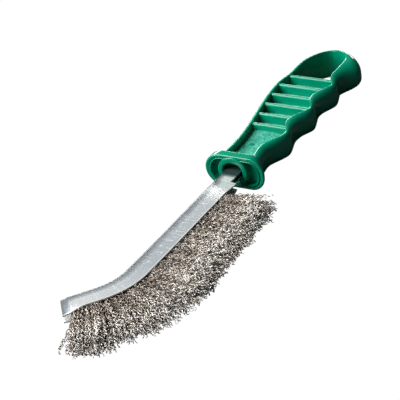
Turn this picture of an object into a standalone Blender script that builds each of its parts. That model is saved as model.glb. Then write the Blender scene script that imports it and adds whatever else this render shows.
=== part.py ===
"""Wire scratch brush, lying on its side: moulded handle, steel channel, core wire and crimped wire fill.

+X runs from the toe to the end of the handle, the wires point to -Y, and the ribbed side faces +Z.
The origin is on the collar's lower flat, under the middle of its ring boss. Lengths are in metres.
"""

from math import cos, pi, radians, sin, tan

import bmesh
import bpy
from mathutils import Vector

mm = 0.001

# Driving dimensions of the handle: one wall runs round its plan, thicker from face to face at the end
handle_thickness = 12.9 * mm
end_thickness = 15.4 * mm
handle_reach = 118.9 * mm
first_crest_x = 30.6 * mm
end_bulb_length = 13.4 * mm
crest_shares = (0, 0.355, 0.705, 1)
finger_crest_width = 14.7 * mm
outer_crest_shares = (1, 0.973, 0.939, 1.061)
outer_hollow_shares = (0.816, 0.769, 0.741)
inner_crest_shares = (0.796, 0.789, 0.721, 0.435)
inner_hollow_shares = (0.435, 0.429, 0.395)
hollow_power = 1.5
neck_width_finger_side = 11.0 * mm
neck_inner_width_finger_side = 6.3 * mm
neck_width_thumb_side = 9.0 * mm
neck_flare = 2.2 * mm
thumb_width = 18.9 * mm
thumb_end_width = 17.3 * mm
thumb_swell_x = 10.5 * mm
thumb_swell_length = 71.5 * mm
thumb_turn_length = 25.9 * mm
thumb_narrow_length = 15.0 * mm
thumb_wall = 2.5 * mm
end_wall = 2.9 * mm
outer_end_power = 1.4
inner_end_power = 0.6
finger_round_across = 4.2 * mm
finger_round_deep = 5.6 * mm
bulb_round_across = 6.6 * mm
bulb_round_deep = 6.2 * mm
thumb_round_across = 1.5 * mm
thumb_round_deep = 2.4 * mm
round_of_wall_share = 0.85
outline_step = 1.7 * mm

# Web and cross-ribs; past the last rib the handle is open from side to side
web_thickness = 3.0 * mm
neck_web_thickness = 5.8 * mm
rib_count = 6
first_rib_x = 36.0 * mm
hang_hole_length = 30.9 * mm
rib_thickness = 2.6 * mm
rib_edge_radius = 0.9 * mm
rib_below_rim = 0.35 * mm
root_in_wall = 1.0 * mm

# Collar, with a ring boss in its hollow front
collar_length = 5.2 * mm
collar_width = 33.2 * mm
collar_height = 17.4 * mm
collar_flat_thumb_side = 7.4 * mm
collar_flat_finger_side = 8.4 * mm
collar_finger_taper = 2.5 * mm
collar_towards_fingers = 0.8 * mm
collar_wall = 3.1 * mm
collar_flat_wall = 2.3 * mm
collar_back_wall = 1.8 * mm
collar_edge_radius = 0.9 * mm
collar_edge_steps = 2
ring_width = 16.4 * mm
ring_height = 15.4 * mm
ring_lip_radius = 0.8 * mm
ring_proud = 0.6 * mm
socket_width = 10.8 * mm
socket_height = 9.8 * mm
socket_corner_radius = 4.2 * mm
socket_depth = 4.4 * mm

# Steel channel, bent towards the thumb side near the toe
sheet = 0.9 * mm
channel_depth = 12.1 * mm
channel_rear_depth = 13.0 * mm
rear_depth_length = 16.0 * mm
channel_thickness = 8.0 * mm
rear_thickness = 3.8 * mm
flattened_length = 20.0 * mm
flattened_power = 1.5
channel_corner_radius = 2.3 * mm
channel_straight = 87.4 * mm
channel_to_collar = 12.0 * mm
bend_angle_deg = 38.0
bend_radius = 27.0 * mm
bend_steps = 9
toe_length = 16.2 * mm
toe_lip_thickness = 4.0 * mm
toe_pinch_length = 8.0 * mm
toe_end_thickness = 7.0 * mm
toe_end_length = 3.4 * mm
toe_slant_deg = 14.0
spine_towards_thumb = 0.4 * mm
spine_drift = 1.6 * mm
straight_shares = (0, 0.05, 0.1, 0.15, 0.22, 0.35, 0.5, 0.65, 0.8, 1)
lip_step_length = 1.2 * mm
tang_depth = 9.4 * mm
tang_thickness = 2.4 * mm
tongue_reach = 27.0 * mm
fit_gap = 0.3 * mm

# Core wire and wire fill
core_wire_radius = 1.1 * mm
core_wire_steps = 24
fold_layer = 1.0 * mm
fill_clearance = 0.8 * mm
fill_back_depth = 8.0 * mm
fill_nodes = 8
strands_per_row = 10
strand_rows = 4
strand_radius = 0.42 * mm
strand_length = 31.4 * mm
length_place_shares = (0, 0.2, 0.45, 0.74, 0.88, 1)
length_shares = (0.77, 0.86, 0.92, 1, 1, 0.95)
strand_crimp = 0.5 * mm
root_half_spread = 1.4 * mm
tip_half_spread = 4.0 * mm
fill_rear_margin = 11.0 * mm
fill_toe_margin = 6.0 * mm
toe_lean_deg = 21.0
toe_lean_share = 0.30

# Construction values
overrun = 2.0 * mm
weld = 0.01 * mm
arc_steps = 10
wall_round_steps = 4

mid_height = collar_height / 2
collar_front_x = -collar_length / 2
collar_back_x = collar_length / 2
recess_floor_x = collar_back_x - collar_back_wall
wall_start_x = collar_back_x - 2 * collar_back_wall / 3
last_rib_x = handle_reach - hang_hole_length
rib_pitch = (last_rib_x - first_rib_x) / (rib_count - 1)
last_crest_x = handle_reach - end_bulb_length
thumb_turn_x = handle_reach - thumb_turn_length
thumb_narrow_x = thumb_turn_x - thumb_narrow_length
tang_spine_y = tang_depth / 2


def start_scene():
    """Clears the scene and makes the two collections."""
    for obj in list(bpy.data.objects):
        bpy.data.objects.remove(obj, do_unlink=True)
    made = {}
    for name in ("wire_scratch_brush", "cutters"):
        made[name] = bpy.data.collections.new(name)
        bpy.context.scene.collection.children.link(made[name])
    made["cutters"].hide_render = True
    return made["wire_scratch_brush"], made["cutters"]


brush_collection, cutter_collection = start_scene()


def make_material(name, colour, roughness, metallic):
    material = bpy.data.materials.new(name)
    material.use_nodes = True
    shader = material.node_tree.nodes["Principled BSDF"]
    shader.inputs["Base Color"].default_value = (*colour, 1.0)
    shader.inputs["Roughness"].default_value = roughness
    shader.inputs["Metallic"].default_value = metallic
    return material


def object_from_mesh(name, mesh, collection, material=None):
    obj = bpy.data.objects.new(name, mesh)
    collection.objects.link(obj)
    if material:
        mesh.materials.append(material)
    if collection is cutter_collection:
        obj.hide_render = True
        obj.display_type = "WIRE"
    return obj


def plate(name, outline, half_depth, collection, place, material=None):
    """A closed flat outline as a solid: a 2D curve, extruded both ways, placed and made a mesh."""
    curve = bpy.data.curves.new(name + "_outline", "CURVE")
    curve.dimensions = "2D"
    curve.fill_mode = "BOTH"
    curve.extrude = half_depth
    spline = curve.splines.new("POLY")
    spline.points.add(len(outline) - 1)
    for point, (u, v) in zip(spline.points, outline):
        point.co = (u, v, 0, 1)
    spline.use_cyclic_u = True
    guide = bpy.data.objects.new(name + "_guide", curve)
    bpy.context.scene.collection.objects.link(guide)
    guide.location, guide.rotation_euler = place
    bpy.context.view_layer.update()
    graph = bpy.context.evaluated_depsgraph_get()
    mesh = bpy.data.meshes.new_from_object(guide.evaluated_get(graph))
    obj = object_from_mesh(name, mesh, collection, material)
    shape = bmesh.new()
    shape.from_mesh(mesh)
    bmesh.ops.remove_doubles(shape, verts=shape.verts, dist=weld)
    bmesh.ops.recalc_face_normals(shape, faces=shape.faces)
    inside_caps = [edge for edge in shape.edges if all(abs(face.normal.z) > 0.9 for face in edge.link_faces)]
    bmesh.ops.dissolve_edges(shape, edges=inside_caps)
    rim_weight = shape.edges.layers.float.new("bevel_weight_edge")
    for edge in shape.edges:
        edge[rim_weight] = float(any(abs(face.normal.z) > 0.9 for face in edge.link_faces))
    shape.to_mesh(mesh)
    shape.free()
    mesh.transform(guide.matrix_world)
    bpy.data.objects.remove(guide, do_unlink=True)
    return obj


def boolean(obj, other, operation, name):
    """Cuts or joins with the MANIFOLD solver, because EXACT loses the handle at its rounded rims."""
    modifier = obj.modifiers.new(name, "BOOLEAN")
    modifier.operation = operation
    modifier.solver = "MANIFOLD"
    modifier.object = other


def smooth_blend(share):
    """Rises from 0 to 1 with level ends."""
    held = min(max(share, 0.0), 1.0)
    return held * held * (3 - 2 * held)


# The handle's plan: distances from the X axis, towards the fingers and towards the thumb
def finger_line(x, neck_width, crest_widths, hollow_widths):
    """A flared and waisted neck, then hollows between rounded crests."""
    if x < first_crest_x:
        flare = neck_flare * (1 - smooth_blend(x / (first_crest_x / 2)))
        rise = smooth_blend(2 * x / first_crest_x - 1)
        return neck_width + flare + rise * (finger_crest_width * crest_widths[0] - neck_width)
    places = [first_crest_x + share * (last_crest_x - first_crest_x) for share in crest_shares]
    for i in range(len(places) - 1):
        if x <= places[i + 1]:
            share = (x - places[i]) / (places[i + 1] - places[i])
            crest = crest_widths[i] + smooth_blend(share) * (crest_widths[i + 1] - crest_widths[i])
            hollow = sin(pi * max(share, 0)) ** hollow_power
            return finger_crest_width * (crest + hollow * (hollow_widths[i] - crest))
    return finger_crest_width * crest_widths[-1]


def finger_outer(x):
    return finger_line(x, neck_width_finger_side, outer_crest_shares, outer_hollow_shares)


def finger_inner(x):
    return finger_line(x, neck_inner_width_finger_side, inner_crest_shares, inner_hollow_shares)


def thumb_side_width(x):
    """Outer surface on the thumb side: a straight neck, a slow swell, then a little narrower at the end."""
    swell = smooth_blend((x - thumb_swell_x) / thumb_swell_length)
    width = neck_width_thumb_side + swell * (thumb_width - neck_width_thumb_side)
    return width - (thumb_width - thumb_end_width) * smooth_blend((x - thumb_narrow_x) / thumb_narrow_length)


def end_share(x):
    """How far the handle has changed from its ribbed part to its end."""
    return smooth_blend((x - last_rib_x) / (last_crest_x - last_rib_x))


def half_thickness_at(x):
    return (handle_thickness + end_share(x) * (end_thickness - handle_thickness)) / 2


def spaced(start_x, end_x, step):
    """Evenly spaced places from start to end, about a step apart."""
    count = max(1, round(abs(end_x - start_x) / step))
    return [start_x + (end_x - start_x) * i / count for i in range(count + 1)]


def wall_stations():
    """Outer point, inner point and edge rounding round the plan, from the neck and back to it."""
    stations = []
    for x in spaced(wall_start_x, last_crest_x, outline_step):
        across = finger_round_across + end_share(x) * (bulb_round_across - finger_round_across)
        deep = finger_round_deep + end_share(x) * (bulb_round_deep - finger_round_deep)
        stations.append(((x, -finger_outer(x)), (x, -finger_inner(x)), across, deep))
    outer_finger, inner_finger = finger_outer(last_crest_x), finger_inner(last_crest_x)
    outer_thumb = thumb_side_width(thumb_turn_x)
    inner_thumb = outer_thumb - thumb_wall
    inner_reach = handle_reach - end_wall
    outer_tip_y = (outer_thumb - outer_finger) / 2
    inner_tip_y = (inner_thumb - inner_finger) / 2
    for i in range(1, 2 * arc_steps):
        turn = pi / 2 * i / arc_steps
        level, lean = abs(cos(turn)), sin(turn)
        bulb = max(0, 1 - i / arc_steps)
        if i <= arc_steps:
            outer = (last_crest_x + (handle_reach - last_crest_x) * lean,
                     outer_tip_y - (outer_finger + outer_tip_y) * level ** outer_end_power)
            inner = (last_crest_x + (inner_reach - last_crest_x) * lean,
                     inner_tip_y - (inner_finger + inner_tip_y) * level ** inner_end_power)
        else:
            outer = (thumb_turn_x + (handle_reach - thumb_turn_x) * lean,
                     outer_tip_y + (outer_thumb - outer_tip_y) * level)
            inner = (thumb_turn_x + (inner_reach - thumb_turn_x) * lean,
                     inner_tip_y + (inner_thumb - inner_tip_y) * level)
        stations.append((outer, inner, thumb_round_across + bulb * (bulb_round_across - thumb_round_across),
                         thumb_round_deep + bulb * (bulb_round_deep - thumb_round_deep)))
    for x in spaced(thumb_turn_x, wall_start_x, 2 * outline_step):
        outer_y = thumb_side_width(x)
        stations.append(((x, outer_y), (x, outer_y - thumb_wall), thumb_round_across, thumb_round_deep))
    return stations


def wall_section(outer, inner, across, deep):
    """One section of the wall, flat inside and rounded over at its two outer edges."""
    outwards = Vector(outer) - Vector(inner)
    width = outwards.length
    outwards.normalize()
    half = half_thickness_at(outer[0])
    across = min(across, width * round_of_wall_share)
    upper = [(0, half)]
    for i in range(wall_round_steps + 1):
        turn = pi / 2 * i / wall_round_steps
        upper.append((width - across * (1 - sin(turn)), half - deep * (1 - cos(turn))))
    section = upper + [(n, -z) for n, z in reversed(upper)]
    return [Vector((inner[0] + outwards.x * n, inner[1] + outwards.y * n, mid_height + z)) for n, z in section]


def wall_to_wall(start_x, end_x):
    """A plan strip that runs from wall to wall, rooted in both."""
    finger = [(x, -(finger_inner(x) + root_in_wall)) for x in spaced(start_x, end_x, outline_step)]
    thumb = [(x, thumb_side_width(x) - thumb_wall + root_in_wall)
             for x in spaced(end_x, start_x, 2 * outline_step)]
    return finger + thumb


def collar_loop(x, inset, flat_inset):
    """Half ellipses joined by two flats. The finger side draws in towards the back."""
    taper = collar_finger_taper * smooth_blend((x - collar_front_x) / collar_length)
    thumb_bulge = collar_width / 2 - collar_flat_thumb_side - inset
    finger_bulge = collar_width / 2 - collar_flat_finger_side - inset - taper
    height = collar_height / 2 - flat_inset
    turns = [pi * i / arc_steps - pi / 2 for i in range(arc_steps + 1)]
    loop = [(collar_flat_thumb_side + thumb_bulge * cos(turn), height * sin(turn)) for turn in turns]
    loop += [(-collar_flat_finger_side - finger_bulge * cos(turn), -height * sin(turn)) for turn in turns]
    return [Vector((x, y - collar_towards_fingers, mid_height + z)) for y, z in loop]


def collar_loops():
    """From the back face round both edges to the front, then down to the floor of the recess."""
    loops = []
    for i in range(collar_edge_steps + 1):
        turn = pi / 2 * i / collar_edge_steps
        inset = collar_edge_radius * (1 - sin(turn))
        loops.append(collar_loop(collar_back_x - collar_edge_radius * (1 - cos(turn)), inset, inset))
    for i in range(collar_edge_steps + 1):
        turn = pi / 2 * i / collar_edge_steps
        inset = collar_edge_radius * (1 - cos(turn))
        loops.append(collar_loop(collar_front_x + collar_edge_radius * (1 - sin(turn)), inset, inset))
    loops.append(collar_loop(collar_front_x, collar_wall, collar_flat_wall))
    loops.append(collar_loop(recess_floor_x, collar_wall, collar_flat_wall))
    return loops


def ellipse(width, height, steps):
    turns = [2 * pi * i / steps for i in range(steps)]
    return [(width / 2 * cos(turn), height / 2 * sin(turn)) for turn in turns]


def rounded_rectangle(width, height, radius):
    points = []
    for corner in range(4):
        centre_u = (width / 2 - radius) * (1 if corner in (0, 3) else -1)
        centre_v = (height / 2 - radius) * (1 if corner < 2 else -1)
        for i in range(4):
            turn = pi / 2 * (corner + i / 3)
            points.append((centre_u + radius * cos(turn), centre_v + radius * sin(turn)))
    return points


def flat_at(height):
    """Places a plan outline level, at a height."""
    return (0, 0, height), (0, 0, 0)


def across_x(start_x, end_x):
    """Places an outline across the X axis, its first axis along Y and its second along Z."""
    return ((start_x + end_x) / 2, 0, mid_height), (pi / 2, 0, pi / 2)


def round_rims(obj, radius, steps):
    """Rounds a plate's outline edges on both faces, and no edge that runs through its thickness."""
    modifier = obj.modifiers.new("edge_rounding", "BEVEL")
    modifier.width = radius
    modifier.segments = steps
    modifier.limit_method = "WEIGHT"


def loft(name, loops, collection, material=None, folded=False):
    """A closed solid through loops of equal point counts; a folded sheet is closed across its thickness."""
    shape = bmesh.new()
    rows = [[shape.verts.new(point) for point in loop] for loop in loops]
    count = len(rows[0])
    for row, after in zip(rows, rows[1:]):
        for i in range(count):
            j = (i + 1) % count
            shape.faces.new((row[i], row[j], after[j], after[i]))
    for row in (rows[0], rows[-1]):
        if folded:
            for i in range(count // 2 - 1):
                shape.faces.new((row[i], row[i + 1], row[count - 2 - i], row[count - 1 - i]))
        else:
            shape.faces.new(row)
    bmesh.ops.recalc_face_normals(shape, faces=shape.faces)
    mesh = bpy.data.meshes.new(name)
    shape.to_mesh(mesh)
    shape.free()
    return object_from_mesh(name, mesh, collection, material)


def add_body(handle):
    """The web and the ribs are joined to the wall from side to side."""
    web_start_x = recess_floor_x + root_in_wall
    web = plate("web", wall_to_wall(web_start_x, last_rib_x), web_thickness / 2,
                cutter_collection, flat_at(mid_height))
    boolean(handle, web, "UNION", "web")
    neck_web = plate("neck_web", wall_to_wall(web_start_x, first_rib_x),
                     neck_web_thickness / 2, cutter_collection, flat_at(mid_height))
    boolean(handle, neck_web, "UNION", "neck_web")
    for i in range(rib_count):
        x = first_rib_x + i * rib_pitch
        rib = plate(f"rib_{i + 1}", wall_to_wall(x - rib_thickness / 2, x + rib_thickness / 2),
                    half_thickness_at(x) - rib_below_rim, cutter_collection, flat_at(mid_height))
        round_rims(rib, rib_edge_radius, collar_edge_steps)
        boolean(handle, rib, "UNION", f"rib_{i + 1}")


def add_collar(handle):
    """The hollow collar is joined on, then the ring boss, the socket and the tongue's slot follow."""
    boolean(handle, loft("collar", collar_loops(), cutter_collection), "UNION", "collar")
    ring_front_x = collar_front_x - ring_proud
    ring_back_x = recess_floor_x + collar_back_wall / 2
    ring = plate("ring_boss", ellipse(ring_width, ring_height, 3 * arc_steps),
                 (ring_back_x - ring_front_x) / 2, cutter_collection,
                 across_x(ring_front_x, ring_back_x))
    round_rims(ring, ring_lip_radius, collar_edge_steps)
    boolean(handle, ring, "UNION", "ring_boss")
    socket_end_x = collar_front_x + socket_depth
    socket_mouth_x = ring_front_x - overrun
    socket = plate("socket", rounded_rectangle(socket_width, socket_height, socket_corner_radius),
                   (socket_end_x - socket_mouth_x) / 2, cutter_collection,
                   across_x(socket_mouth_x, socket_end_x))
    boolean(handle, socket, "DIFFERENCE", "socket")
    slot_end_x = tongue_reach + fit_gap
    slot = plate("tongue_slot", rounded_rectangle(tang_depth + 2 * fit_gap, tang_thickness + 2 * fit_gap,
                                                  fit_gap),
                 slot_end_x / 2, cutter_collection, across_x(0, slot_end_x))
    boolean(handle, slot, "DIFFERENCE", "tongue_slot")


def make_handle():
    green = make_material("green_plastic", (0.005, 0.25, 0.12), 0.3, 0.0)
    handle = loft("handle", [wall_section(*station) for station in wall_stations()], brush_collection, green)
    add_body(handle)
    add_collar(handle)


# The channel's path, as a spine line with a frame at each distance from its rear end
channel_rear_x = collar_front_x - channel_to_collar
bend_start_x = channel_rear_x - channel_straight
bend_length = bend_radius * radians(bend_angle_deg)
channel_length = channel_straight + bend_length + toe_length


def flattened_share(distance):
    """1 at the rear end, where the cheeks are pressed together, and 0 where the channel is full."""
    return max(0.0, 1 - distance / flattened_length) ** flattened_power


def half_body_at(distance):
    """Half the channel's thickness, which narrows at both ends."""
    rear = flattened_share(distance)
    toe = smooth_blend(1 - (channel_length - distance) / toe_end_length)
    narrowed = rear * (channel_thickness - rear_thickness) + toe * (channel_thickness - toe_end_thickness)
    return (channel_thickness - narrowed) / 2


def spine_y(x):
    """The spine line on the straight run. It drifts towards the thumb, and more where the cheeks close in."""
    drift = spine_drift * smooth_blend((x - bend_start_x) / channel_straight)
    closed_in = flattened_share(channel_rear_x - x) * (channel_thickness - rear_thickness) / 2
    return spine_towards_thumb + drift + closed_in


def path_point(distance):
    """The spine point, the direction towards the toe, and the direction from spine to lips."""
    if distance <= channel_straight:
        x = channel_rear_x - distance
        spine = Vector((x, spine_y(x), 0))
        along = Vector((-1, 0, 0))
    else:
        past = distance - channel_straight
        turn = min(past / bend_radius, radians(bend_angle_deg))
        along = Vector((-cos(turn), sin(turn), 0))
        spine = Vector((bend_start_x - bend_radius * sin(turn),
                        spine_y(bend_start_x) + bend_radius * (1 - cos(turn)), 0))
        spine += along * (past - bend_radius * turn)
    return spine, along, Vector((-along.y, along.x, 0))


def half_section(depth, half_body, half_lip):
    """Half of the U from lip to fold, outside and inside the sheet, as pairs of depth and height."""
    radius = min(channel_corner_radius, half_body - weld)
    inner_radius = max(radius - sheet, weld)
    bulge_depth = (radius + depth) / 2
    outside = [(depth, half_lip), (bulge_depth, half_body)]
    inside = [(depth, half_lip - sheet), (bulge_depth, half_body - sheet)]
    for i in range(5):
        turn = pi / 2 * i / 4
        outside.append((radius * (1 - sin(turn)), half_body - radius * (1 - cos(turn))))
        inside.append((sheet + inner_radius * (1 - sin(turn)),
                       half_body - sheet - inner_radius * (1 - cos(turn))))
    return outside, inside


def section_loop(spine, way, depth, half_body, half_lip):
    outside, inside = half_section(depth, half_body, half_lip)
    loop = outside + [(n, -z) for n, z in reversed(outside)]
    loop += [(n, -z) for n, z in inside] + inside[::-1]
    return [spine + way * n + Vector((0, 0, mid_height + z)) for n, z in loop]


def make_channel():
    """Flat tang, then the channel itself, with its lips drawn in at the toe."""
    steel = make_material("galvanised_steel", (0.55, 0.58, 0.6), 0.35, 1.0)
    tang_stations = (
        (tongue_reach, tang_thickness / 2, tang_spine_y),
        (collar_front_x - overrun, tang_thickness / 2, tang_spine_y),
        (channel_rear_x + lip_step_length, half_body_at(0), path_point(0)[0].y),
    )
    loops = []
    for x, half_body, y in tang_stations:
        loops.append(section_loop(Vector((x, y, 0)), Vector((0, -1, 0)), tang_depth, half_body, half_body))
    distances = [share * channel_straight for share in straight_shares]
    distances += [channel_straight + bend_length * i / bend_steps for i in range(1, bend_steps + 1)]
    distances += [channel_length - toe_pinch_length * share for share in (1, 2 / 3, 1 / 3, 1 / 6, 0)]
    for distance in distances:
        spine, along, way = path_point(distance)
        pinch = smooth_blend(1 - (channel_length - distance) / toe_pinch_length)
        half_body = half_body_at(distance)
        half_lip = half_body - pinch * (half_body - toe_lip_thickness / 2)
        deeper = (channel_rear_depth - channel_depth) * smooth_blend(1 - distance / rear_depth_length)
        slanted_way = way + along * (tan(radians(toe_slant_deg)) * pinch)
        loops.append(section_loop(spine, slanted_way, channel_depth + deeper, half_body, half_lip))
    loft("channel", loops, brush_collection, steel, folded=True)


# The fill: flat wires folded round the core wire, in lengths that lie end to end in the channel
core_depth = sheet + fit_gap + fold_layer + fit_gap + core_wire_radius
fill_start = fill_rear_margin
fill_end = channel_length - fill_toe_margin
slice_pitch = (fill_end - fill_start) / fill_nodes


def make_core_wire():
    """The retaining wire along the fold of the channel."""
    steel = make_material("core_steel", (0.35, 0.35, 0.36), 0.45, 1.0)
    curve = bpy.data.curves.new("core_wire", "CURVE")
    curve.dimensions = "3D"
    curve.bevel_depth = core_wire_radius
    curve.bevel_resolution = 2
    curve.use_fill_caps = True
    spline = curve.splines.new("POLY")
    spline.points.add(core_wire_steps)
    for i, point in enumerate(spline.points):
        spine, _, way = path_point(fill_start + (fill_end - fill_start) * i / core_wire_steps)
        centre = spine + way * core_depth
        point.co = (centre.x, centre.y, mid_height, 1)
    wire = bpy.data.objects.new("core_wire", curve)
    brush_collection.objects.link(wire)
    curve.materials.append(steel)


def length_share(distance):
    """How long the strands stand past the lips along the fill, as a share of the longest."""
    place = (distance - fill_start) / (fill_end - fill_start)
    steps = zip(length_place_shares, length_place_shares[1:], length_shares, length_shares[1:])
    for start, end, low, high in steps:
        if place <= end:
            return low + smooth_blend((place - start) / (end - start)) * (high - low)
    return length_shares[-1]


def strand_points(distance, across):
    """Root to tip of one crimped strand. All strands crimp in step, so none cross."""
    spine, along, way = path_point(distance)
    lean_start = fill_end * (1 - toe_lean_share)
    lean = sin(radians(toe_lean_deg)) * smooth_blend((distance - lean_start) / (fill_end - lean_start))
    direction = (way + along * lean).normalized()
    root = spine + way * (fill_back_depth - sheet)
    reach = channel_depth + strand_length * length_share(distance) - (fill_back_depth - sheet)
    points = []
    for share, crimp in ((0, 0), (1 / 3, strand_crimp), (2 / 3, -strand_crimp), (1, 0)):
        height = mid_height + across * (root_half_spread + share * (tip_half_spread - root_half_spread))
        points.append(root + direction * (reach * share) + along * crimp + Vector((0, 0, height)))
    return points


def add_strand(shape, points, along):
    """A three-sided tube along the points."""
    up = Vector((0, 0, 1))
    corners = [(along * cos(2 * pi * i / 3) + up * sin(2 * pi * i / 3)) * strand_radius for i in range(3)]
    rows = [[shape.verts.new(point + corner) for corner in corners] for point in points]
    for row, after in zip(rows, rows[1:]):
        for i in range(3):
            j = (i + 1) % 3
            shape.faces.new((row[i], row[j], after[j], after[i]))
    shape.faces.new(rows[0])
    shape.faces.new(rows[-1])


def make_strands(name, begin, end):
    shape = bmesh.new()
    for column in range(strands_per_row):
        for row in range(strand_rows):
            stagger_share = 2 / 3 if row % 2 else 1 / 3
            distance = begin + (end - begin) * (column + stagger_share) / strands_per_row
            across = 2 * row / (strand_rows - 1) - 1
            add_strand(shape, strand_points(distance, across), path_point(distance)[1])
    bmesh.ops.recalc_face_normals(shape, faces=shape.faces)
    mesh = bpy.data.meshes.new(name)
    shape.to_mesh(mesh)
    shape.free()
    return object_from_mesh(name, mesh, cutter_collection)


def make_fill(index, material):
    """One length of the fill: the packed roots, bored for the core wire, with their strands."""
    name = f"wire_fill_{index + 1:02d}"
    begin = fill_start + index * slice_pitch + fit_gap / 2
    end = begin + slice_pitch - fit_gap
    hole = core_wire_radius + fit_gap
    half_height = channel_thickness / 2 - sheet - fill_clearance
    fold_depth = sheet + fit_gap
    corners = [(pi / 4 * i, max(abs(cos(pi / 4 * i)), abs(sin(pi / 4 * i)))) for i in range(8)]
    shape = bmesh.new()
    rows = []
    for i in range(4):
        spine, _, way = path_point(begin + (end - begin) * i / 3)
        centre = spine + Vector((0, 0, mid_height))
        outer, inner = [], []
        for turn, longest in corners:
            deeper = cos(turn) / longest
            near_fold = deeper < -weld
            reach = core_depth - fold_depth if near_fold else fill_back_depth - core_depth
            half = half_height - fold_layer / 2 if near_fold else half_height
            rise = Vector((0, 0, half * sin(turn) / longest))
            outer.append(shape.verts.new(centre + way * (core_depth + reach * deeper) + rise))
            rise = Vector((0, 0, hole * sin(turn)))
            inner.append(shape.verts.new(centre + way * (core_depth + hole * cos(turn)) + rise))
        rows.append((outer, inner))
    for j in range(8):
        k = (j + 1) % 8
        for (outer, inner), (outer_after, inner_after) in zip(rows, rows[1:]):
            shape.faces.new((outer[j], outer[k], outer_after[k], outer_after[j]))
            shape.faces.new((inner[j], inner[k], inner_after[k], inner_after[j]))
        for outer, inner in (rows[0], rows[-1]):
            shape.faces.new((outer[j], outer[k], inner[k], inner[j]))
    bmesh.ops.recalc_face_normals(shape, faces=shape.faces)
    mesh = bpy.data.meshes.new(name)
    shape.to_mesh(mesh)
    shape.free()
    fill = object_from_mesh(name, mesh, brush_collection, material)
    boolean(fill, make_strands(name + "_strands", begin, end), "UNION", "strands")


def make_wire_fill():
    bristle = make_material("bristle_steel", (0.42, 0.38, 0.33), 0.4, 1.0)
    for index in range(fill_nodes):
        make_fill(index, bristle)


make_handle()
make_channel()
make_core_wire()
make_wire_fill()
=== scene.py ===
# Wire scratch brush, lying on its side on a pale studio floor. Run it in Blender 4.5.
# Lengths are in millimetres in the pieces' dictionaries, and in metres in the looks, studio and camera.

import math
import random

import bmesh
import bpy
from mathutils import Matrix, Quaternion, Vector


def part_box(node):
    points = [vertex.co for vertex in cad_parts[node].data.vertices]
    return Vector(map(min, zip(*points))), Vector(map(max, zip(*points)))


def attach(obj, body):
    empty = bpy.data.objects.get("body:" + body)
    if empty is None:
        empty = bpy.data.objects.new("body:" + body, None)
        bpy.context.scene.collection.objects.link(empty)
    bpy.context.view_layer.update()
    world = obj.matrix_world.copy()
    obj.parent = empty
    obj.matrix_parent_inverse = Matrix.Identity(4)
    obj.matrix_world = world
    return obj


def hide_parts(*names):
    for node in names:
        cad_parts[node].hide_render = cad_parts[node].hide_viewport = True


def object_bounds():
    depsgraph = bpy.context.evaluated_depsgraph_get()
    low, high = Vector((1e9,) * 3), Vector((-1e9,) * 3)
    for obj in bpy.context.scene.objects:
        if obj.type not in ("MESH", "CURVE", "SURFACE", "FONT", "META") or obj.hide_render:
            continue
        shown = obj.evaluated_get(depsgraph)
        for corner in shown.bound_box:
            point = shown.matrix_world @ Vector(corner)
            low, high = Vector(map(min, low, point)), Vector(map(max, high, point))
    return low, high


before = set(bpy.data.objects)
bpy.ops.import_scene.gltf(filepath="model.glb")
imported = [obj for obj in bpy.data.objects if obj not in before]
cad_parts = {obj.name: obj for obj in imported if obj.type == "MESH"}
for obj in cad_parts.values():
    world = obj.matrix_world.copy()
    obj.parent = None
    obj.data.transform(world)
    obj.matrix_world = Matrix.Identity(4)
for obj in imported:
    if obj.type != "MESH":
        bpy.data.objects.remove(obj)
cadBox = [list(corner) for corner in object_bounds()]
print("frame loaded")

mm = 0.001
midHeight = sum(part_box("channel")[i][2] for i in (0, 1)) / 2 / mm  # the plane that the brush is mirrored in


# Small helpers that every piece uses

def smoothBlend(share):
    held = min(max(share, 0.0), 1.0)
    return held * held * (3 - 2 * held)


def blendOver(place, start, end):
    # Rises from 0 at the start to 1 at the end, with level ends
    return smoothBlend((place - start) / (end - start))


def mix(a, b, share):
    return a + (b - a) * share


def tableValue(table, place):
    # Smooth value between the table's (place, value) pairs
    for (a, low), (b, high) in zip(table, table[1:]):
        if place <= b:
            return mix(low, high, blendOver(place, a, b))
    return table[-1][1]


def quarterTurn(steps):
    # Angles from 0 to a right angle, for a rounded edge
    return [math.pi / 2 * i / steps for i in range(steps + 1)]


def newObject(name, mesh, replaced):
    piece = bpy.data.objects.new(name, mesh)
    bpy.context.scene.collection.objects.link(piece)
    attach(piece, "root")
    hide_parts(*replaced)
    return piece


def meshFromBmesh(name, shape):
    bmesh.ops.recalc_face_normals(shape, faces=shape.faces)
    mesh = bpy.data.meshes.new(name)
    shape.to_mesh(mesh)
    shape.free()
    mesh.shade_smooth()
    return mesh


def loftRows(rows):
    # A skin with closed ends through rows of points in millimetres, with equal counts
    shape = bmesh.new()
    made = [[shape.verts.new(Vector(point) * mm) for point in row] for row in rows]
    count = len(rows[0])
    for row, after in zip(made, made[1:]):
        for i in range(count):
            j = (i + 1) % count
            shape.faces.new((row[i], row[j], after[j], after[i]))
    shape.faces.new(made[0])
    shape.faces.new(made[-1][::-1])
    return shape


def boolean(piece, other, operation):
    modifier = piece.modifiers.new(other.name, "BOOLEAN")
    modifier.operation = operation
    modifier.solver = "MANIFOLD"
    modifier.object = other


def applyModifiers(piece):
    graph = bpy.context.evaluated_depsgraph_get()
    mesh = bpy.data.meshes.new_from_object(piece.evaluated_get(graph))
    piece.modifiers.clear()
    piece.data = mesh


# Small helpers that every material uses

grainRange = (0.3, 0.7)  # where nearly all of a noise's values lie


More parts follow.
